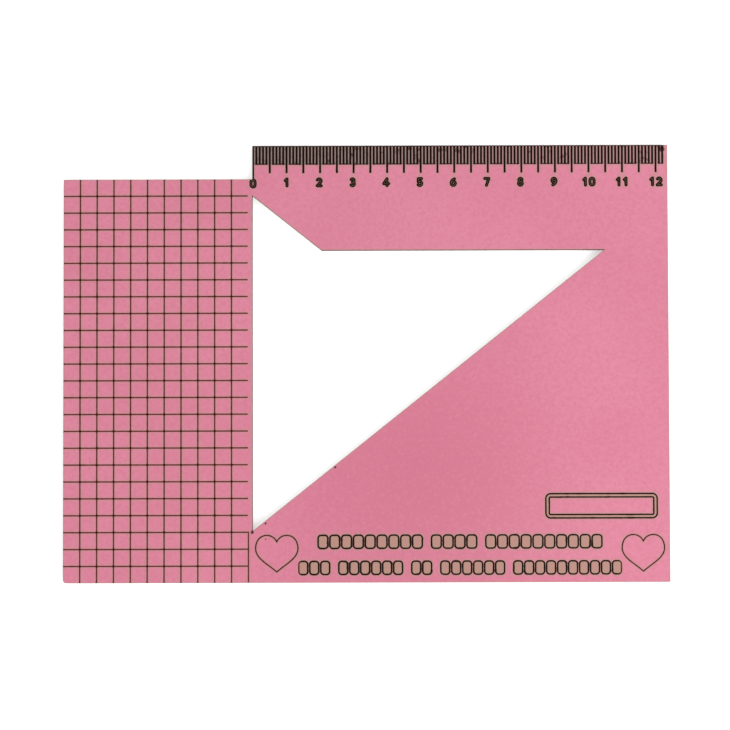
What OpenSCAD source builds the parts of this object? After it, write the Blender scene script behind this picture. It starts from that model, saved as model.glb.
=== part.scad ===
// Flat template for finishing the corners of covered boxes: a stiff fibreboard plate with a thin
// pink decor film bonded to its upper face. The plate has a millimetre ruler along one edge, a
// squared grid on its left panel and a window with slanted edges. A laser cuts the outline and
// burns every line right through the film, so a closed line leaves an island of film on the board.
//
// Frame: +X along the ruler, +Y towards the ruler edge, +Z out of the decorated face.
// Origin: the middle of the bounding box, on the underside. All sizes are in millimetres.

/* [Board] */
// Overall length, along the ruler
board_length = 180; // [178:1:200]
// Overall width, across the ruler
board_width = 130; // [130:1:150]
// Thickness of the whole board, film included
board_thickness = 3; // [2:0.5:6]
// Thickness of the decor film
film_thickness = 0.25; // [0.15:0.05:0.5]
// Radius of the one rounded corner, at the lower left
corner_radius = 1; // [0.5:0.5:4]
// Width of the grid panel, as far as the shoulder of the ruler block
panel_width = 56.2; // [55.8:0.2:58]
// How far the ruler edge stands above the shoulder
shoulder_height = 10; // [9:0.5:12]

/* [Window] */
// From the shoulder down to the window's upper corner
window_start = 4.85; // [4:0.05:8]
// From the shoulder down to the window's straight top edge
window_top = 21.25; // [16:0.25:30]
// From the shoulder down to the window's lower corner
window_end = 104.7; // [90:0.1:104.7]
// Angle between the window's slanted edges and the ruler edge, in degrees
window_slope = 38.5; // [38:0.5:45]

/* [Engraving] */
// Width of a line burnt through the film
line_width = 0.32; // [0.2:0.02:0.4]

/* [Grid] */
// Side of one square of the grid
grid_pitch = 5; // [4, 5]
// Rows at the foot of the panel in which the last column is closed off
closed_rows = 3; // [1:1:6]
// Gap between the end of an open grid line and the full width of the grid
open_line_gap = 0.2; // [0:0.1:1]

/* [Ruler] */
// Length that the ruler measures
ruler_reach = 122; // [100:1:122]
// Width of a mark
mark_width = 0.5; // [0.3:0.05:0.6]
// Length of a millimetre mark
short_mark = 5.7; // [4:0.1:6]
// Length of the mark at every fifth millimetre
long_mark = 8.2; // [6.5:0.1:8.5]
// Overall height of a numeral, its engraved outline included
numeral_height = 2.9; // [2.4:0.1:3]
// Thickness of a numeral's strokes, between the middles of their outlines
numeral_stroke = 0.54; // [0.45:0.01:0.6]
// From the ruler edge down to the middle of the numerals
numeral_drop = 11; // [11:0.1:12]

/* [Hearts] */
// Width of a heart
heart_width = 12.6; // [10:0.2:12.6]
// From the shoulder line across to the middle of the left heart
left_heart_inset = 7.2; // [7:0.05:8]
// From the right edge across to the middle of the right heart
right_heart_inset = 8; // [7:0.05:8.5]
// From the lower edge up to the tip of a heart
heart_tip_height = 3.25; // [2:0.05:3.5]

/* [Caption] */
// Height of a caption block
block_height = 3.9; // [3:0.1:4.2]
// Gap between the outlines of two blocks
block_gap = 0.3; // [0.2:0.05:0.6]
// Gap between two words
word_gap = 2.1; // [1.5:0.1:2.5]
// From the lower edge up to the middle of the upper caption line
upper_line_height = 12.1; // [11:0.1:12.5]
// From the lower edge up to the middle of the lower caption line
lower_line_height = 4.4; // [3:0.1:5]

/* [Label] */
// Length of the blank name label
label_length = 33; // [20:1:34]
// Height of the blank name label
label_height = 7.2; // [5:0.1:8]
// Width of the border strip between the label's two outlines
label_border_width = 0.7; // [0.5:0.1:1]
// From the right edge to the middle of the label
label_inset = 20.3; // [19:0.1:24]
// From the lower edge to the middle of the label
label_lift = 22.6; // [20:0.1:26]

/* [Hidden] */

pink = "palevioletred";
fibreboard = "peru";

core_thickness = board_thickness - film_thickness;
left = -board_length / 2;
right = board_length / 2;
bottom = -board_width / 2;
top = board_width / 2;
shoulder_y = top - shoulder_height;
shoulder_x = left + panel_width;

grid_columns = 11;
grid_rows = floor((board_width - shoulder_height) / grid_pitch);
open_rows = grid_rows - closed_rows;

// The zero mark burns the film away along the edge of the ruler block itself
zero_x = shoulder_x + mark_width / 2;
numerals = [0:12];
figure_rise = numeral_height - numeral_stroke - line_width;
figure_step = 2.1;
figure_lean = -0.3;

// Letters in each word of the two caption lines, and the room that one letter takes
upper_words = [9, 4, 10];
upper_advance = 3.5;
lower_words = [3, 6, 2, 6, 10];
lower_advance = 3.25;
caption_middle = (shoulder_x + left_heart_inset + right - right_heart_inset) / 2;
block_radius = 0.9;
label_radius = 1.4;

arc_steps = 10;
curve_steps = 12;
hair = 0.02;
spare = 1;
$fn = 20;

// Points on an arc about c, from angle a to angle b
function arc(c, r, a, b, steps = arc_steps) =
    [for (i = [0:steps]) c + r * [cos(a + (b - a) * i / steps), sin(a + (b - a) * i / steps)]];

// Point at t on a cubic curve from p to s, pulled towards q and r
function curve(p, q, r, s, t) =
    pow(1 - t, 3) * p + 3 * pow(1 - t, 2) * t * q + 3 * (1 - t) * t * t * r + pow(t, 3) * s;

function mirrored(points) = [for (p = points) [-p[0], p[1]]];
function reversed(points) = [for (i = [len(points) - 1:-1:0]) points[i]];
function sum_to(list, n) = n <= 0 ? 0 : list[n - 1] + sum_to(list, n - 1);

// ---- Outline ----

module window() {
    run_to_top = (window_top - window_start) / tan(window_slope);
    run_to_end = (window_end - window_top) / tan(window_slope);
    polygon([
        [shoulder_x, shoulder_y - window_start],
        [shoulder_x + run_to_top, shoulder_y - window_top],
        [shoulder_x + run_to_end, shoulder_y - window_top],
        [shoulder_x, shoulder_y - window_end]
    ]);
}

// What the rounding takes off the lower left corner
module corner_waste() {
    translate([left, bottom]) difference() {
        translate([-spare, -spare]) square(corner_radius + spare);
        translate([corner_radius, corner_radius]) circle(r = corner_radius);
    }
}

module plate_outline() {
    difference() {
        translate([left, bottom]) square([board_length, board_width]);
        translate([left - spare, shoulder_y]) square([panel_width + spare, shoulder_height + spare]);
        window();
        corner_waste();
    }
}

// ---- Grid ----

function line_y(row) = shoulder_y - row * grid_pitch;
function line_x(column) = left + column * grid_pitch;

// The film square in one cell; cells at the rim of the board reach its edge
module square_tile(column, row) {
    x0 = column == 1 ? left : line_x(column - 1) + line_width / 2;
    x1 = line_x(column) - line_width / 2;
    y0 = row == grid_rows ? bottom : line_y(row) + line_width / 2;
    y1 = row == 1 ? shoulder_y : line_y(row - 1) - line_width / 2;
    translate([x0, y0]) square([x1 - x0, y1 - y0]);
}

module tile_column(column) {
    first_row = column == grid_columns ? open_rows + 1 : 1;
    for (row = [first_row:grid_rows]) square_tile(column, row);
}

// Everything that the grid takes out of the main film: its closed cells and its open line ends
module grid_cut() {
    translate([left - spare, bottom - spare])
        square([(grid_columns - 1) * grid_pitch + line_width / 2 + spare, shoulder_y - bottom + 2 * spare]);
    translate([left - spare, bottom - spare])
        square([grid_columns * grid_pitch + line_width / 2 + spare,
                line_y(open_rows) - bottom + line_width / 2 + spare]);
    for (row = [1:open_rows - 1])
        translate([line_x(grid_columns - 1), line_y(row) - line_width / 2])
            square([grid_pitch - open_line_gap, line_width]);
}

// ---- Ruler ----

function mark_length(mm) = mm % 5 == 0 ? long_mark : short_mark;

module ruler_marks() {
    translate([shoulder_x - spare, shoulder_y]) square([mark_width + spare, shoulder_height + spare]);
    for (mm = [1:ruler_reach])
        translate([zero_x + mm - mark_width / 2, top - mark_length(mm)])
            square([mark_width, mark_length(mm) + spare]);
}

// Routes of the pen for one figure, one unit high, standing on the X axis
function figure(n) =
    n == 0 ? [concat(arc([0, 0.7], 0.3, 0, 180), arc([0, 0.3], 0.3, 180, 360), [[0.3, 0.7]])] :
    n == 1 ? [[[-0.2, 0.78], [0.06, 1], [0.06, 0]]] :
    n == 2 ? [concat(arc([0, 0.71], 0.29, 150, -35), [[-0.29, 0], [0.31, 0]])] :
    n == 3 ? [concat(arc([-0.02, 0.76], 0.24, 145, -90), arc([-0.02, 0.27], 0.27, 90, -145))] :
    n == 4 ? [[[0.12, 1], [-0.36, 0.28], [0.36, 0.28]], [[0.12, 1], [0.12, 0]]] :
    n == 5 ? [concat([[0.26, 1], [-0.2, 1], [-0.23, 0.54]], arc([-0.01, 0.3], 0.3, 130, -140))] :
    n == 6 ? [arc([0, 0.3], 0.3, 0, 360), arc([0.35, 0.33], 0.65, 180, 105)] :
    n == 7 ? [[[-0.3, 1], [0.3, 1], [-0.06, 0]]] :
    n == 8 ? [arc([0, 0.76], 0.24, 0, 360), arc([0, 0.28], 0.28, 0, 360)] :
    [for (route = figure(6)) [for (p = route) [-p[0], 1 - p[1]]]];

// A hair-thin strip from p to q
module strip(p, q) {
    translate(p) rotate(atan2(q[1] - p[1], q[0] - p[0]))
        translate([0, -hair / 2]) square([norm(q - p), hair]);
}

module trace(route) {
    for (i = [0:len(route) - 2]) strip(route[i], route[i + 1]);
}

module figure_trace(n) {
    for (route = figure(n)) trace(figure_rise * route);
}

// Numbers of two figures are centred as a pair under their mark
module number_trace(n) {
    if (n < 10) figure_trace(n);
    else {
        translate([-figure_step / 2, 0]) figure_trace(floor(n / 10));
        translate([figure_step / 2, 0]) figure_trace(n % 10);
    }
}

// The figures from 2 to 9 sit a little to the left of their marks
function number_x(n) = zero_x + 10 * n + (n > 1 && n < 10 ? figure_lean : 0);

// The zero hangs from the shoulder, at the end of its mark
function number_middle(n) = n == 0 ? shoulder_y - (figure_rise + numeral_stroke) / 2 : top - numeral_drop;

// All numbers of the ruler, drawn with a pen of the given width
module numerals_drawn(pen) {
    offset(r = (pen - hair) / 2)
        for (n = numerals)
            translate([number_x(n), number_middle(n) - figure_rise / 2]) number_trace(n);
}

module numerals_outside() numerals_drawn(numeral_stroke + line_width);
module numerals_inside() numerals_drawn(numeral_stroke - line_width);

// ---- Hearts ----

// Right half of a heart one unit wide, from the notch round the lobe and down to the tip at [0, 0]
function heart_half() =
    let (lobe = [0.234, 0.605],
         lobe_r = 0.254,
         notch = acos(-lobe[0] / lobe_r),
         flank = 20,
         tip_lean = 49,
         pull = 0.357,
         start = lobe + lobe_r * [cos(flank), sin(flank)])
    concat(arc(lobe, lobe_r, notch, flank, 2 * arc_steps),
           [for (i = [1:curve_steps])
                curve(start,
                      start + pull * [sin(flank), -cos(flank)],
                      pull * [sin(tip_lean), cos(tip_lean)],
                      [0, 0],
                      i / curve_steps)]);

// Closed loop of a whole heart, with its notch and its tip each there once
function heart_loop() =
    let (half = heart_half(), last = len(half) - 1)
    concat(half, [for (i = [last - 1:-1:1]) [-half[i][0], half[i][1]]]);

// A heart grown or shrunk by half a line
module heart(x, growth) {
    translate([x, bottom + heart_tip_height])
        offset(r = growth) polygon(heart_width * heart_loop());
}

left_heart_x = shoulder_x + left_heart_inset;
right_heart_x = right - right_heart_inset;

// ---- Caption and label ----

// A rectangle about the origin with round corners
module round_box(size, radius) {
    offset(r = radius) square([size[0] - 2 * radius, size[1] - 2 * radius], center = true);
}

// One caption line: a block for each letter, a gap between words, all centred between the hearts
module caption_blocks(words, advance, height_above_edge, growth) {
    count = sum_to(words, len(words));
    length = count * advance + (len(words) - 1) * word_gap;
    block = [advance - block_gap - line_width, block_height];
    for (w = [0:len(words) - 1], i = [0:words[w] - 1]) {
        letter = sum_to(words, w) + i;
        x = caption_middle - length / 2 + (letter + 0.5) * advance + w * word_gap;
        translate([x, bottom + height_above_edge])
            round_box([block[0] + 2 * growth, block[1] + 2 * growth], block_radius + growth);
    }
}

module upper_caption(growth) caption_blocks(upper_words, upper_advance, upper_line_height, growth);
module lower_caption(growth) caption_blocks(lower_words, lower_advance, lower_line_height, growth);

// The label's outline, drawn in from its outer line by the given distance
module label_shape(inset) {
    translate([right - label_inset, bottom + label_lift])
        round_box([label_length - 2 * inset, label_height - 2 * inset], label_radius - inset);
}

label_field_inset = label_border_width + line_width;

// ---- Sub-parts ----

module in_film() {
    translate([0, 0, core_thickness]) linear_extrude(film_thickness) children();
}

module board_core() {
    color(fibreboard) linear_extrude(core_thickness) plate_outline();
}

// The main field of film: all that the grid, the marks and the closed outlines leave in one piece
module face_film() {
    color(pink) in_film() difference() {
        plate_outline();
        grid_cut();
        ruler_marks();
        numerals_outside();
        heart(left_heart_x, line_width / 2);
        heart(right_heart_x, line_width / 2);
        upper_caption(line_width / 2);
        lower_caption(line_width / 2);
        label_shape(-line_width / 2);
    }
}

module grid_column(column) {
    color(pink) in_film() difference() {
        tile_column(column);
        corner_waste();
    }
}

module heart_left() {
    color(pink) in_film() heart(left_heart_x, -line_width / 2);
}

module heart_right() {
    color(pink) in_film() heart(right_heart_x, -line_width / 2);
}

module ruler_numerals() {
    color(pink) in_film() numerals_inside();
}

module caption_upper() {
    color(pink) in_film() upper_caption(-line_width / 2);
}

module caption_lower() {
    color(pink) in_film() lower_caption(-line_width / 2);
}

module label_border() {
    color(pink) in_film() difference() {
        label_shape(line_width / 2);
        label_shape(label_field_inset - line_width / 2);
    }
}

module label_field() {
    color(pink) in_film() label_shape(label_field_inset + line_width / 2);
}

board_core();
face_film();
for (column = [1:grid_columns])
    grid_column(column);
heart_left();
heart_right();
ruler_numerals();
caption_upper();
caption_lower();
label_border();
label_field();
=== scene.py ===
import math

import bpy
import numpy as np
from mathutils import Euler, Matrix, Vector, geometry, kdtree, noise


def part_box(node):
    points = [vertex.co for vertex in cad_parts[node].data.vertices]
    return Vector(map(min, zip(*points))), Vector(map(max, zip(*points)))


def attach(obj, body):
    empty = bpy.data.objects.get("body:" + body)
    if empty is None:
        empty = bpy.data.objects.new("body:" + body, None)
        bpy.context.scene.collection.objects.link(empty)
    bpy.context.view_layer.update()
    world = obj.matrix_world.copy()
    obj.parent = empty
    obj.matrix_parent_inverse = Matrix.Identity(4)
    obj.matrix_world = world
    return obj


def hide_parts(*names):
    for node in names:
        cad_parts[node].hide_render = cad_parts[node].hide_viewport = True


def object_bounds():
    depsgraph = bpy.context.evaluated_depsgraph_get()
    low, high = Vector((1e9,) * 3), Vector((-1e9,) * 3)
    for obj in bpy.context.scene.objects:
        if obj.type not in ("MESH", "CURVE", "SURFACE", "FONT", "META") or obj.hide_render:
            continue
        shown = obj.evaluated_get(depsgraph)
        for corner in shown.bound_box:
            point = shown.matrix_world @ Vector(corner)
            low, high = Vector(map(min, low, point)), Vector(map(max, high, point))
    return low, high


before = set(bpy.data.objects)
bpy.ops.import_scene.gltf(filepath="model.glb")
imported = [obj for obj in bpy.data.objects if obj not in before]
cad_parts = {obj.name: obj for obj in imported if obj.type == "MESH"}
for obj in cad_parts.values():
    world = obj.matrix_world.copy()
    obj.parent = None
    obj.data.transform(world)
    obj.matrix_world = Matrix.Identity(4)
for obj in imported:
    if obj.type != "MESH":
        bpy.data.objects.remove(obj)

# Looks of a laser-cut corner template: a fibreboard plate with a pink decor film on its face.
# Lengths are in metres, in the CAD frame: +X along the ruler, +Y towards the ruler edge, +Z out of the
# decorated face. Every node is rebuilt finer: the film with burnt, sunken rims, and the board with
# grooves under the film's lines and with striped laser-cut walls. Each vertex holds its distance to the
# nearest cut in millimetres, as "cut", and how hard the laser burnt there, as "burn", so that the
# materials can draw char and smoke along the lines.

MM = 0.001
CAD_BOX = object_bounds()
LOW, HIGH = CAD_BOX

BODY = "root"
BOARD_NODE = "board_core"
FIELD_NODE = "face_film"
FILM_NODES = sorted(set(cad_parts) - {BOARD_NODE})
FILM_BOTTOM, FILM_TOP = (corner.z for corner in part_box(FIELD_NODE))
NUMERALS_LOW, NUMERALS_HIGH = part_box("ruler_numerals")
PANEL_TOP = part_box("grid_column_1")[1].y
SHOULDER_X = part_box("grid_column_11")[1].x

# The grid's pitch, and the X beyond which its lines no longer cross.
SQUARE = 5 * MM
GRID_RIGHT = -36.5 * MM


# ---- Outlines ----

# Places closer than WELD are one corner, and a point within SAME of a place lies on it. Outlines are
# sampled every SAMPLE to measure distances from them. A row beside an outline keeps its points where
# they are at least the share CLEAR of the row's distance away from every outline.
WELD = 0.5e-6
SAME = 4e-6
SAMPLE = 0.12 * MM
CLEAR = 0.93
TINY = 1e-9


def upper_outlines(node):
    """Closed outlines of a node's upper face, as XY points, with the material on their left."""
    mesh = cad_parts[node].data
    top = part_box(node)[1].z
    places = [(round(v.co.x / WELD), round(v.co.y / WELD)) for v in mesh.vertices]
    sides = set()
    for face in mesh.polygons:
        if min(mesh.vertices[i].co.z for i in face.vertices) < top - 2 * WELD:
            continue
        corners = [places[i] for i in face.vertices]
        for start, end in zip(corners, corners[1:] + corners[:1]):
            if (end, start) in sides:
                sides.remove((end, start))
            elif start != end:
                sides.add((start, end))
    follows = dict(sorted(sides))
    outlines = []
    while follows:
        start, at = follows.popitem()
        loop = [start]
        while at != start:
            loop.append(at)
            at = follows.pop(at)
        outlines.append(np.array(loop) * WELD)
    return outlines


def divided(loop, step):
    """The outline with its long sides divided, so that none is longer than step."""
    parts = []
    for start, end in zip(loop, np.roll(loop, -1, axis=0)):
        count = max(1, math.ceil(np.linalg.norm(end - start) / step))
        parts.append(start + (end - start) * np.arange(count)[:, None] / count)
    return np.concatenate(parts)


def inward(loop):
    """Unit normals at an outline's points, towards the material."""
    before = loop - np.roll(loop, 1, axis=0)
    after = np.roll(loop, -1, axis=0) - loop
    before /= np.linalg.norm(before, axis=1, keepdims=True)
    after /= np.linalg.norm(after, axis=1, keepdims=True)
    along = before + after
    normal = np.stack([-along[:, 1], along[:, 0]], axis=1)
    return normal / np.maximum(np.linalg.norm(normal, axis=1, keepdims=True), TINY)


def uneven(points, grain):
    """A smooth random number from 0 to 1 at each XY point."""
    return np.array([0.5 + 0.5 * noise.noise(Vector((x / grain, y / grain, 0.0))) for x, y in points])


def tree_of(points):
    """A search tree of XY points."""
    tree = kdtree.KDTree(len(points))
    for i, (x, y) in enumerate(points):
        tree.insert((x, y, 0), i)
    tree.balance()
    return tree


def sampled(loops):
    """A search tree of points all along the outlines."""
    return tree_of(np.concatenate([divided(loop, SAMPLE) for loop in loops]))


def distances(points, tree):
    """Each XY point's distance to the nearest point of the tree."""
    return np.array([tree.find((x, y, 0))[2] for x, y in points])


def rows_beside(points, normals, rows, tree):
    """Rows of points beside some outlines, wherever no outline is nearer."""
    found = []
    for row in rows:
        moved = points + normals * row
        found.append(moved[distances(moved, tree) > CLEAR * row])
    return np.concatenate(found)


def thinned(points, gap):
    """The points without those that lie closer than gap to one kept before them."""
    taken, kept = {}, []
    for x, y in points:
        cell = (math.floor(x / gap), math.floor(y / gap))
        near = [taken.get((cell[0] + i, cell[1] + j)) for i in (-1, 0, 1) for j in (-1, 0, 1)]
        if all(p is None or math.hypot(p[0] - x, p[1] - y) > gap for p in near):
            taken[cell] = (x, y)
            kept.append((x, y))
    return np.array(kept)


# ---- Heat of the laser ----

# How hard each kind of line was burnt: the board's rim, the lines, the ruler's marks and some nodes.
RIM_HEAT = 0.12
LINE_HEAT = 0.34
RULER_HEAT = 0.66
NODE_HEAT = {
    "ruler_numerals": 0.5,
    "caption_upper": 1.1,
    "caption_lower": 1.1,
    "label_border": 0.9,
    "heart_left": 0.45,
    "heart_right": 0.45,
}
BOARD_LOOPS = upper_outlines(BOARD_NODE)
BOARD_EDGE = sampled(BOARD_LOOPS)


def heats(points):
    """How hard the laser burnt each XY point on a line, where 1 is hard."""
    x, y = points.T
    heat = np.where(distances(points, BOARD_EDGE) < SAMPLE, RIM_HEAT, LINE_HEAT)
    for node, value in NODE_HEAT.items():
        low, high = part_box(node)
        near = (x > low.x - MM) & (x < high.x + MM) & (y > low.y - MM) & (y < high.y + MM)
        heat = np.where(near, value, heat)
    return np.where(y > NUMERALS_HIGH.y, RULER_HEAT, heat)


def nearest_cut(points, loops):
    """For each point, its distance to the nearest outline and how hard that was burnt."""
    samples = np.concatenate([divided(loop, SAMPLE) for loop in loops])
    sample_heats, tree = heats(samples), tree_of(samples)
    found = [tree.find((x, y, 0)) for x, y in points]
    return np.array([f[2] for f in found]), sample_heats[[f[1] for f in found]]


# ---- Meshes ----

# The triangulation first fills the convex hull, and joins points closer than TOUCHING.
CONVEX = 0
TOUCHING = 1e-8
CREASE_ANGLE = math.radians(40)


def on_left(faces, rings):
    """The triangles on the left of the outlines: those that share a side with one, and all that join them."""
    owner = {}
    for i, (a, b, c) in enumerate(faces):
        owner[a, b] = owner[b, c] = owner[c, a] = i
    fence = {side for ring in rings for side in zip(ring, ring[1:] + ring[:1])}
    waiting = [owner[side] for side in fence]
    kept = set(waiting)
    while waiting:
        a, b, c = faces[waiting.pop()]
        for start, end in ((a, b), (b, c), (c, a)):
            if (start, end) not in fence and owner[end, start] not in kept:
                kept.add(owner[end, start])
                waiting.append(owner[end, start])
    return [faces[i] for i in sorted(kept)]


def filled(loops, extra=(), creases=()):
    """Fills outlines with triangles, holes left open, through the extra points and along the creases.

    Creases are pairs of numbers, counted through the outlines' points and then the extra ones.
    Returns the places, the triangles and each outline's place numbers.
    """
    points = np.concatenate([*loops, extra]) if len(extra) else np.concatenate(loops)
    sides, first = list(creases), 0
    for loop in loops:
        count = len(loop)
        sides += [(first + i, first + (i + 1) % count) for i in range(count)]
        first += count
    made = geometry.delaunay_2d_cdt(
        [Vector(p) for p in points / MM], sides, [], CONVEX, TOUCHING / MM)
    number = {source: i for i, sources in enumerate(made[3]) for source in sources}
    rings, first = [], 0
    for loop in loops:
        rings.append([number[first + i] for i in range(len(loop))])
        first += len(loop)
    return np.array(made[0]) * MM, on_left(made[2], rings), rings


class Shell:
    """Gathers one closed mesh: its points, its faces and the numbers that its points hold."""

    def __init__(self):
        self.points, self.faces, self.values = [], [], {"cut": [], "burn": []}

    def add(self, places, heights, cut, burn):
        """Adds points and returns the first one's number."""
        first, count = len(self.points), len(places)
        flat = np.broadcast_to(heights, count)
        self.points += [(x, y, z) for (x, y), z in zip(places, flat)]
        for name, value in (("cut", cut), ("burn", burn)):
            self.values[name] += list(np.broadcast_to(value, count))
        return first

    def wall(self, upper, lower):
        """Joins two closed rows of points, both with the material on their left."""
        for a, b, c, d in zip(upper, upper[1:] + upper[:1], lower[1:] + lower[:1], lower):
            self.faces.append((a, d, c, b))

    def piece(self, name, material):
        """Makes the object, which rides on the board and stands for the CAD node of that name."""
        used = sorted({i for face in self.faces for i in face})
        number = {old: new for new, old in enumerate(used)}
        mesh = bpy.data.meshes.new(name)
        mesh.from_pydata([self.points[i] for i in used], [], [[number[i] for i in f] for f in self.faces])
        for value_name, values in self.values.items():
            attribute = mesh.attributes.new(value_name, "FLOAT", "POINT")
            attribute.data.foreach_set("value", np.array(values, np.float32)[used])
        mesh.shade_smooth()
        mesh.set_sharp_from_angle(angle=CREASE_ANGLE)
        mesh.materials.append(material)
        made = bpy.data.objects.new(f"{name}_finished", mesh)
        bpy.context.scene.collection.objects.link(made)
        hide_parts(name)
        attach(made, BODY)
        return made


# ---- Film ----

# Spacing of the points along the outlines, rows of points beside them, and how far a rim is burnt back
# and sunken, unevenly in grains of that length.
FILM_STEP = 0.6 * MM
FILM_ROWS = (0.1 * MM, 0.3 * MM, 0.9 * MM)
RIM_LOSS = 0.035 * MM
RIM_SINK = 0.03 * MM
RIM_GRAIN = 0.8 * MM


def film_outlines(node):
    """A film node's outlines, with points close enough for an uneven rim."""
    return [divided(loop, FILM_STEP) for loop in upper_outlines(node)]


def film_piece(node, material):
    """A sheet of film whose rims are sunken and unevenly burnt back from the laser's lines."""
    loops = film_outlines(node)
    normals = np.concatenate([inward(loop) for loop in loops])
    rows = rows_beside(np.concatenate(loops), normals, FILM_ROWS, sampled(loops))
    places, faces, rings = filled(loops, rows)
    cut, heat = nearest_cut(places, loops)
    heights = np.full(len(places), FILM_TOP)
    under, under_faces, under_rings = filled(loops)
    for loop, ring, under_ring in zip(loops, rings, under_rings):
        wear = uneven(loop, RIM_GRAIN)
        places[ring] = under[under_ring] = loop + inward(loop) * (RIM_LOSS * wear)[:, None]
        heights[ring] -= RIM_SINK * (0.5 + wear)
    shell = Shell()
    shell.add(places, heights, cut / MM, heat)
    shell.faces += faces
    first = shell.add(under, FILM_BOTTOM, 0.0, heats(under))
    shell.faces += [(first + c, first + b, first + a) for a, b, c in under_faces]
    for ring, under_ring in zip(rings, under_rings):
        shell.wall(ring, [first + i for i in under_ring])
    made = shell.piece(node, material)
    return made


# ---- Board ----

# The walls: spacing of the points along them, the shares of the height that get a row of points, the
# depth and grain of the laser's stripes, and how far a wall leans in at the back.
WALL_STEP = 0.35 * MM
WALL_SHARES = (0.86, 0.6, 0.32, 0.08)
STRIPE_DEPTH = 0.035 * MM
STRIPE_GRAIN = 0.3 * MM
KERF_TAPER = 0.04 * MM

# Rows of points on the back, for the smoke beside the walls.
SMOKE_ROWS = (0.35 * MM, 1.1 * MM, 3.0 * MM)

# The grooves: rows of sunken points beside the film's rims, never closer to each other than the gap.
GROOVE_ROWS = (0.16 * MM, 0.25 * MM)
GROOVE_GAP = 0.12 * MM
GROOVE_DEPTH = 0.11 * MM
GROOVE_GRAIN = 0.7 * MM


def with_points_on_it(loop, points):
    """The outline with those of the points that lie on it added as corners, and which ones those are."""
    corners, lies_on = [], np.zeros(len(points), bool)
    for start, end in zip(loop, np.roll(loop, -1, axis=0)):
        along = end - start
        share = (points - start) @ along / (along @ along)
        off = np.linalg.norm(points - start - share[:, None] * along, axis=1)
        slack = SAME / np.linalg.norm(along)
        on_side = (off < SAME) & (share > -slack) & (share < 1 + slack)
        lies_on |= on_side
        corners.append(start)
        for at in np.sort(share[on_side]):
            corner = start + at * along
            if min(math.dist(corner, corners[-1]), math.dist(corner, end)) > 2 * SAME:
                corners.append(corner)
    return np.array(corners), lies_on


def board_outlines(film_points):
    """The plate's outlines, with a corner wherever a point of the film lies on them.

    Returns the outlines and, for each of the film's points, whether it lies on one.
    """
    loops, on_rim = [], np.zeros(len(film_points), bool)
    for loop in BOARD_LOOPS:
        cornered, lies_on = with_points_on_it(loop, film_points)
        loops.append(divided(cornered, WALL_STEP))
        on_rim |= lies_on
    return loops, on_rim


def groove_creases(film_loops, on_rim, rim_points):
    """The film's sides as creases in the plate's face, apart from the sides that lie on its rim.

    They are numbered through the rim's points and then the film's points that lie off the rim.
    """
    film_points = np.concatenate(film_loops)
    rim_tree = tree_of(rim_points)
    number = np.zeros(len(film_points), int)
    number[~on_rim] = len(rim_points) + np.arange(np.count_nonzero(~on_rim))
    number[on_rim] = [rim_tree.find((x, y, 0))[1] for x, y in film_points[on_rim]]
    creases, first = [], 0
    for loop in film_loops:
        for i in range(len(loop)):
            a, b = first + i, first + (i + 1) % len(loop)
            if not (on_rim[a] and on_rim[b]):
                creases.append((int(number[a]), int(number[b])))
        first += len(loop)
    return creases


def grooved_face(loops, film_loops, on_rim, top):
    """The plate's upper face, sunken into grooves along the film's lines.

    Returns its places, their heights and heats, its triangles, and each outline's place numbers.
    """
    film_points = np.concatenate(film_loops)[~on_rim]
    outward = -np.concatenate([inward(loop) for loop in film_loops])[~on_rim]
    beds = thinned(rows_beside(film_points, outward, GROOVE_ROWS, sampled(film_loops)), GROOVE_GAP)
    creases = groove_creases(film_loops, on_rim, np.concatenate(loops))
    places, faces, rings = filled(loops, np.concatenate([film_points, beds]), creases)
    heat = heats(places)
    depth = GROOVE_DEPTH * (0.4 + 0.6 * heat) * (0.4 + 1.2 * uneven(places, GROOVE_GRAIN))
    is_bed = distances(places, tree_of(beds)) < SAME
    heights = top - np.where(is_bed, depth, 0.0)
    for ring in rings:
        heights[ring] = top
    return places, heights, heat, faces, rings


def board_piece(material):
    """The plate: grooves under the film's lines, striped walls that lean in slightly, and a raw back."""
    bottom, top = (corner.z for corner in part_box(BOARD_NODE))
    film_loops = [loop for node in FILM_NODES for loop in film_outlines(node)]
    loops, on_rim = board_outlines(np.concatenate(film_loops))
    normals = [inward(loop) for loop in loops]
    stripes = [STRIPE_DEPTH * uneven(loop, STRIPE_GRAIN) for loop in loops]

    places, heights, heat, faces, rings = grooved_face(loops, film_loops, on_rim, top)
    for loop, ring, normal, stripe in zip(loops, rings, normals, stripes):
        places[ring] = loop + normal * stripe[:, None]
    shell = Shell()
    shell.add(places, heights, 0.0, heat)
    shell.faces += faces

    edge = sampled(loops)
    smoke_rows = rows_beside(np.concatenate(loops), np.concatenate(normals), SMOKE_ROWS, edge)
    under, under_faces, under_rings = filled(loops, thinned(smoke_rows, WALL_STEP / 2))
    cut = distances(under, edge)
    for loop, ring, normal, stripe in zip(loops, under_rings, normals, stripes):
        under[ring] = loop + normal * (stripe + KERF_TAPER)[:, None]
    first = shell.add(under, bottom, cut / MM, RIM_HEAT)
    shell.faces += [(first + c, first + b, first + a) for a, b, c in under_faces]

    for loop, upper, under_ring, normal, stripe in zip(loops, rings, under_rings, normals, stripes):
        for share in WALL_SHARES:
            inset = stripe + KERF_TAPER * (1 - share)
            height = bottom + (top - bottom) * share
            start = shell.add(loop + normal * inset[:, None], height, 0.0, RIM_HEAT)
            lower = list(range(start, start + len(loop)))
            shell.wall(upper, lower)
            upper = lower
        shell.wall(upper, [first + i for i in under_ring])
    made = shell.piece(BOARD_NODE, material)
    return made


# ---- Painting ----


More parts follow.
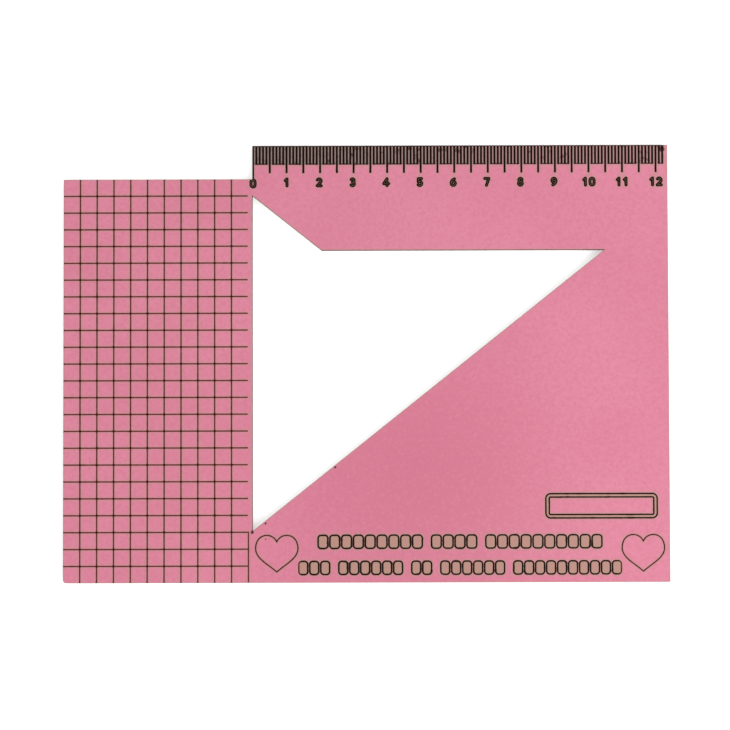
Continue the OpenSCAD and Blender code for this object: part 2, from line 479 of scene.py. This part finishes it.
def srgb(*levels):
    """A screen colour, 0 to 255, as linear light with alpha."""
    shares = [level / 255 for level in levels]
    return (*(s / 12.92 if s <= 0.04045 else ((s + 0.055) / 1.055) ** 2.4 for s in shares), 1.0)


class Painter:
    """Builds a material by short calls. A value is a number, a colour or another node's output."""

    def __init__(self, name):
        self.material = bpy.data.materials.new(name)
        self.material.use_nodes = True
        self.tree = self.material.node_tree
        self.shader = self.tree.nodes["Principled BSDF"]
        self.place = self.node("TexCoord").outputs["Object"]
        self.x, self.y, self.z = self.axes(self.place)

    def node(self, kind, **settings):
        """A new shader node of that kind."""
        made = self.tree.nodes.new(f"ShaderNode{kind}")
        for name, value in settings.items():
            setattr(made, name, value)
        return made

    def feed(self, sockets, *values):
        """Gives each socket its value, by a link where the value is an output."""
        for socket, value in zip(sockets, values):
            if isinstance(value, bpy.types.NodeSocket):
                self.tree.links.new(value, socket)
            else:
                socket.default_value = value

    def axes(self, vector):
        """A vector's three parts."""
        made = self.node("SeparateXYZ")
        self.feed(made.inputs, vector)
        return made.outputs

    def calc(self, operation, *values):
        """The result of a math node."""
        made = self.node("Math", operation=operation)
        self.feed(made.inputs, *values)
        return made.outputs[0]

    def times(self, first, *others):
        """The product of the values."""
        for other in others:
            first = self.calc("MULTIPLY", first, other)
        return first

    def plus(self, first, *others):
        """The sum of the values."""
        for other in others:
            first = self.calc("ADD", first, other)
        return first

    def fade(self, value, start, end, low=0.0, high=1.0):
        """Goes smoothly from low, where the value is start, to high, where it is end."""
        made = self.node("MapRange", interpolation_type="SMOOTHSTEP")
        self.feed(made.inputs, value, start, end, low, high)
        return made.outputs[0]

    def mix(self, share, first, second):
        """The first colour, covered by the second in that share."""
        made = self.node("Mix", data_type="RGBA")
        self.feed([made.inputs[i] for i in (0, 6, 7)], share, first, second)
        return made.outputs[2]

    def noise(self, grain, detail=2.0, roughness=0.5, stretch=(1.0, 1.0, 1.0), turn=0.0, distortion=0.0):
        """Smooth random numbers around a half, in grains of that length."""
        mapping = self.node("Mapping")
        self.feed(mapping.inputs, self.place, (0, 0, 0), (0, 0, turn), stretch)
        made = self.node("TexNoise")
        sockets = [made.inputs[n] for n in ("Vector", "Scale", "Detail", "Roughness", "Distortion")]
        self.feed(sockets, mapping.outputs[0], 1 / grain, detail, roughness, distortion)
        return made.outputs[0]

    def number(self, name):
        """A number that the mesh holds at each vertex."""
        return self.node("Attribute", attribute_name=name).outputs["Fac"]

    def spot(self, x, y, radius, ragged, core=0.4):
        """1 at a point of the face, fading to 0 at about that radius. The core is the share that stays 1."""
        flat = self.node("CombineXYZ")
        self.feed(flat.inputs, self.x, self.y, 0.0)
        made = self.node("VectorMath", operation="DISTANCE")
        self.feed(made.inputs, flat.outputs[0], (x, y, 0.0))
        reach = self.times(radius, self.plus(0.4, self.times(1.2, ragged)))
        return self.fade(made.outputs["Value"], reach, self.times(core, reach))

    def crossing(self):
        """1 where two lines of the grid cross, fading to 0 beside them."""
        across = self.calc("PINGPONG", self.plus(self.x, -LOW.x), SQUARE / 2)
        along = self.calc("PINGPONG", self.plus(self.y, -PANEL_TOP), SQUARE / 2)
        apart = self.calc("SQRT", self.plus(self.times(across, across), self.times(along, along)))
        return self.times(self.fade(apart, 0.6 * MM, 0.25 * MM), self.calc("LESS_THAN", self.x, GRID_RIGHT))

    def surface(self, colour, roughness, relief, depth, gloss):
        """Feeds the shader: its colour, its roughness, a relief of that depth, and how glossy it is."""
        bump = self.node("Bump")
        self.feed([bump.inputs["Distance"], bump.inputs["Height"]], depth, relief)
        sockets = [self.shader.inputs[n] for n in ("Base Color", "Roughness", "Normal")]
        self.feed(sockets, colour, roughness, bump.outputs[0])
        self.shader.inputs["Specular IOR Level"].default_value = gloss
        return self.material


# ---- Film material ----

PINK = srgb(217, 128, 152)
# A deeper pink, used for the mottling and grain and for the painted shade in the middle.
DEEP_PINK_AND_SHADE = srgb(205, 112, 137)
PALE_PINK = srgb(229, 143, 166)
SPECK = srgb(150, 70, 84)
SMOKE = srgb(160, 150, 118)
STAIN = srgb(138, 120, 113)
CHAR = srgb(58, 28, 20)
FILM_RELIEF = 0.02 * MM

# Middle and radius of a patch of painted shade: the pink is painted deeper there, where less light falls.
PAINTED_SHADE_MIDDLE = (16 * MM, -32 * MM, 68 * MM)

# The stain between the ruler's marks stops at the foot of the short marks and at the last mark.
MARKS_FOOT = HIGH.y - 5.7 * MM
MARKS_RIGHT = HIGH.x - 1.2 * MM

# The colour of scorched film, how much of the film is scorched, and its gloss.
NO_SCORCH = (PINK, 0.0, 0.35)
SCORCHED = {
    "ruler_numerals": (srgb(24, 16, 8), 1.0, 0.1),
    "caption_upper": (srgb(180, 138, 124), 0.85, 0.2),
    "caption_lower": (srgb(180, 138, 124), 0.85, 0.2),
    "label_border": (srgb(178, 136, 120), 0.7, 0.2),
}

# Single slips of the laser, as X, Y and radius in millimetres: charred nubs along the window's slanted
# edge and in its lowest corner, a speck in the left heart, and a spot at the end of the ruler.
BLEMISHES = (
    (-9.2, -30.8, 0.45),
    (-29.9, -47.4, 0.45),
    (-33.9, -50.0, 0.7),
    (-29.9, -52.1, 0.3),
    (88.3, 63.7, 1.2),
)


def clean_film(paint, mottle, grain):
    """The colour of the film away from the laser: broad patches, painted shade that deepens the middle,
    mottling and specks.
    """
    broad = paint.noise(40 * MM, 1.0)
    specks = paint.noise(0.7 * MM, 1.0, 0.5, (1.0, 1.0, 0.0))
    # Painted shade: the middle of the film is painted a deeper pink to stand in for weaker light there.
    painted_shade = paint.times(0.85, paint.spot(*PAINTED_SHADE_MIDDLE, 0.5, 0.0))
    colour = paint.mix(paint.fade(broad, 0.35, 0.65, 0.0, 0.3), PINK, PALE_PINK)
    colour = paint.mix(painted_shade, colour, DEEP_PINK_AND_SHADE)
    colour = paint.mix(paint.fade(mottle, 0.45, 0.7, 0.0, 0.36), colour, DEEP_PINK_AND_SHADE)
    colour = paint.mix(paint.fade(mottle, 0.5, 0.3, 0.0, 0.22), colour, PALE_PINK)
    colour = paint.mix(paint.fade(grain, 0.4, 0.75, 0.0, 0.35), colour, DEEP_PINK_AND_SHADE)
    return paint.mix(paint.fade(specks, 0.76, 0.82, 0.0, 0.6), colour, SPECK)


def smoked(paint, cut, heat, ragged):
    """How much smoke has settled on the film beside the cuts."""
    reach = paint.plus(0.5, paint.times(0.25, heat), paint.times(0.5, ragged))
    return paint.times(paint.fade(cut, reach, 0.05), paint.plus(0.26, paint.times(0.15, heat)))


def stained(paint, cut):
    """How stained the narrow strips between the ruler's marks are, which is most near the zero."""
    near_zero = paint.fade(paint.x, HIGH.x, SHOULDER_X, 0.5, 0.97)
    above_foot = paint.fade(paint.y, MARKS_FOOT - 0.2 * MM, MARKS_FOOT + 0.3 * MM)
    before_end = paint.fade(paint.x, MARKS_RIGHT + 0.3 * MM, MARKS_RIGHT)
    return paint.times(paint.fade(cut, 0.5, 0.25), above_foot, before_end, near_zero)


def charred(paint, cut, heat, ragged):
    """How charred the film is: a ragged edge, wider at the left, at crossings and in blots, and blemishes."""
    cooler = paint.fade(paint.x, HIGH.x, SHOULDER_X, 0.74, 1.0)
    blots = paint.fade(paint.noise(2.4 * MM, 2.0, 0.6), 0.55, 0.72)
    edge = paint.times(0.15, heat, cooler, paint.plus(0.1, paint.times(1.8, ragged)))
    edge = paint.plus(edge, paint.times(0.1, paint.crossing()), paint.times(0.13, heat, blots))
    char = paint.fade(cut, edge, paint.times(0.4, edge), 0.0, 0.95)
    for x, y, radius in BLEMISHES:
        char = paint.calc("MAXIMUM", char, paint.spot(x * MM, y * MM, radius * MM, ragged))
    return char


def film_material(name, scorch_colour, scorch, gloss):
    """Matt pink decor film with smoke, stain and char along the laser's lines."""
    paint = Painter(name)
    cut, heat = paint.number("cut"), paint.number("burn")
    mottle = paint.noise(1.1 * MM, 3.0, 0.6)
    grain = paint.noise(0.35 * MM, 2.0)
    ragged = paint.noise(0.9 * MM, 3.0, 0.65)
    scorched = paint.times(scorch, paint.plus(0.7, paint.times(0.6, ragged)))
    smoke = smoked(paint, cut, heat, ragged)
    colour = paint.mix(scorched, clean_film(paint, mottle, grain), scorch_colour)
    colour = paint.mix(smoke, colour, SMOKE)
    colour = paint.mix(stained(paint, cut), colour, STAIN)
    colour = paint.mix(charred(paint, cut, heat, ragged), colour, CHAR)
    roughness = paint.plus(0.5, paint.times(0.16, mottle), paint.times(0.3, smoke))
    relief = paint.plus(paint.times(0.6, mottle), paint.times(0.4, grain))
    return paint.surface(colour, roughness, relief, FILM_RELIEF, gloss)


# ---- Fibreboard material ----

SOOT = srgb(32, 14, 8)
BURNT = srgb(134, 66, 57)
CROSSING_CHAR = srgb(70, 38, 14)
WALL_DARK = srgb(44, 27, 18)
WALL_BROWN = srgb(112, 74, 46)
BACK = srgb(186, 152, 112)
BACK_FIBRE = srgb(158, 120, 82)
BACK_PALE = srgb(208, 178, 140)
BACK_SMOKE = srgb(110, 78, 50)
BOARD_RELIEF = 0.05 * MM
BOARD_GLOSS = 0.08

# Right of BLOCK_LEFT and above FIGURES_FOOT are the ruler's marks and figures, whose grooves hold the
# most soot. It sets in over the width STEP.
BLOCK_LEFT = NUMERALS_LOW.x - 0.3 * MM
FIGURES_FOOT = NUMERALS_LOW.y - 0.3 * MM
STEP = 0.1 * MM


def raw_back(paint, cut, fibres, cross_fibres, uneven_burn):
    """The back's colour: crossing fibres, pale flecks, broad patches, and smoke beside the cuts."""
    patches = paint.noise(9 * MM, 2.0)
    reach = paint.times(3.0, paint.plus(0.3, uneven_burn))
    back = paint.mix(paint.fade(fibres, 0.45, 0.68), BACK, BACK_FIBRE)
    back = paint.mix(paint.fade(cross_fibres, 0.52, 0.7, 0.0, 0.8), back, BACK_PALE)
    back = paint.mix(paint.fade(patches, 0.4, 0.7, 0.0, 0.3), back, BACK_FIBRE)
    return paint.mix(paint.fade(cut, reach, 0.0, 0.0, 0.75), back, BACK_SMOKE)


def burnt_wall(paint):
    """The walls' colour: upright stripes, darker towards the back."""
    stripes = paint.noise(0.28 * MM, 2.0, 0.7, (1.0, 1.0, 0.06))
    wall = paint.mix(paint.fade(stripes, 0.35, 0.65), WALL_DARK, WALL_BROWN)
    return paint.mix(paint.fade(paint.z, 1.0 * MM, 0.0, 0.0, 0.6), wall, WALL_DARK)


def burnt_groove(paint, heat, uneven_burn):
    """The grooves' colour: reddish where they are barely burnt, and soot in the ruler and its figures."""
    in_block = paint.fade(paint.x, BLOCK_LEFT - STEP, BLOCK_LEFT)
    in_scale = paint.times(in_block, paint.fade(paint.y, FIGURES_FOOT - STEP, FIGURES_FOOT, 0.0, 0.25))
    hot = paint.plus(heat, in_scale, paint.times(0.9, paint.plus(-0.5, uneven_burn)))
    groove = paint.mix(paint.fade(hot, 0.3, 0.75), BURNT, SOOT)
    return paint.mix(paint.crossing(), groove, CROSSING_CHAR)


def board_material():
    """Fibreboard: burnt grooves on its upper face, burnt walls and a raw back."""
    paint = Painter("fibreboard")
    cut, heat = paint.number("cut"), paint.number("burn")
    facing = paint.axes(paint.node("NewGeometry").outputs["True Normal"])[2]
    uneven_burn = paint.noise(0.8 * MM, 3.0, 0.65)
    fibres = paint.noise(0.5 * MM, 3.0, 0.6, (1.0, 0.35, 1.0), 0.5, 0.6)
    cross_fibres = paint.noise(0.5 * MM, 3.0, 0.6, (0.35, 1.0, 1.0), 0.3, 0.6)
    groove = burnt_groove(paint, heat, uneven_burn)
    back = raw_back(paint, cut, fibres, cross_fibres, uneven_burn)
    colour = paint.mix(paint.fade(facing, 0.45, 0.55), burnt_wall(paint), groove)
    colour = paint.mix(paint.fade(facing, -0.45, -0.55), colour, back)
    roughness = paint.plus(0.72, paint.times(0.2, fibres))
    relief = paint.plus(paint.times(0.5, fibres), paint.times(0.5, cross_fibres))
    return paint.surface(colour, roughness, relief, BOARD_RELIEF, BOARD_GLOSS)


# ---- Pieces ----

plain_film = film_material("pink_film", *NO_SCORCH)
for node in FILM_NODES:
    if node in SCORCHED:
        film_piece(node, film_material(f"pink_film_{node}", *SCORCHED[node]))
    else:
        film_piece(node, plain_film)
board_piece(board_material())


# ---- Floor, light and camera ----

WHITE = (1.0, 1.0, 1.0, 1.0)
FLOOR_PALE = (0.93, 0.93, 0.93, 1.0)
FLOOR_PALER = (0.96, 0.96, 0.96, 1.0)
FLOOR_GLOW = 0.5
FLOOR_ROUGHNESS = 0.85
FLOOR_RELIEF = 0.01 * MM
FLOOR_GLOSS = 0.1
FLOOR_SIDE = 40.0
FLOOR_GAP = 0.03 * MM

# The camera's turn is in degrees, its lens and sensor in millimetres.
CAMERA_PLACE = Vector((0.3, -11.7, 450.0)) * MM
CAMERA_TURN = (1.435, 0.081, -0.150)
CAMERA_LENS = 74.2
CAMERA_SENSOR = 36.0

KEY_PLACE = Vector((0.45, -0.25, 0.5))
KEY_SIZE = 0.6
KEY_POWER = 2.7
SKY = 0.75


def floor_material():
    """A pale floor with a faint grain and almost no shadow, clear from below to show the board's back."""
    paint = Painter("studio_floor")
    cover = paint.node("MixShader")
    below = paint.node("NewGeometry").outputs["Backfacing"]
    clear = paint.node("BsdfTransparent").outputs[0]
    paint.feed(cover.inputs, below, paint.shader.outputs[0], clear)
    paint.feed(paint.tree.nodes["Material Output"].inputs, cover.outputs[0])
    clouds = paint.noise(60 * MM, 2.0)
    colour = paint.mix(paint.fade(clouds, 0.3, 0.7), FLOOR_PALE, FLOOR_PALER)
    paint.shader.inputs["Emission Color"].default_value = WHITE
    paint.shader.inputs["Emission Strength"].default_value = FLOOR_GLOW
    return paint.surface(colour, FLOOR_ROUGHNESS, clouds, FLOOR_RELIEF, FLOOR_GLOSS)


def make_floor():
    """A wide square just under the object, so that the two faces don't coincide."""
    half = FLOOR_SIDE / 2
    top = LOW.z - FLOOR_GAP
    mesh = bpy.data.meshes.new("studio_floor")
    corners = [(-half, -half, top), (half, -half, top), (half, half, top), (-half, half, top)]
    mesh.from_pydata(corners, [], [(0, 1, 2, 3)])
    mesh.materials.append(floor_material())
    made = bpy.data.objects.new("studio_floor", mesh)
    bpy.context.scene.collection.objects.link(made)


def make_lights():
    """An even white sky and a large soft lamp at the lower right."""
    world = bpy.data.worlds.new("studio")
    world.use_nodes = True
    sky = world.node_tree.nodes["Background"]
    sky.inputs["Color"].default_value = WHITE
    sky.inputs["Strength"].default_value = SKY
    bpy.context.scene.world = world
    light = bpy.data.lights.new("key", "AREA")
    light.shape, light.size, light.energy = "SQUARE", KEY_SIZE, KEY_POWER
    lamp = bpy.data.objects.new("key", light)
    lamp.location = KEY_PLACE
    lamp.rotation_euler = (-KEY_PLACE).to_track_quat("-Z", "Y").to_euler()
    bpy.context.scene.collection.objects.link(lamp)


def make_camera():
    """Overhead, a little below the middle, at the photograph's viewing angle."""
    camera = bpy.data.objects.new("camera", bpy.data.cameras.new("camera"))
    camera.data.lens, camera.data.sensor_width = CAMERA_LENS, CAMERA_SENSOR
    camera.location = CAMERA_PLACE
    camera.rotation_euler = Euler([math.radians(angle) for angle in CAMERA_TURN])
    bpy.context.scene.collection.objects.link(camera)
    bpy.context.scene.camera = camera


make_floor()
make_lights()
make_camera()
bpy.context.scene.view_settings.view_transform = "Standard"
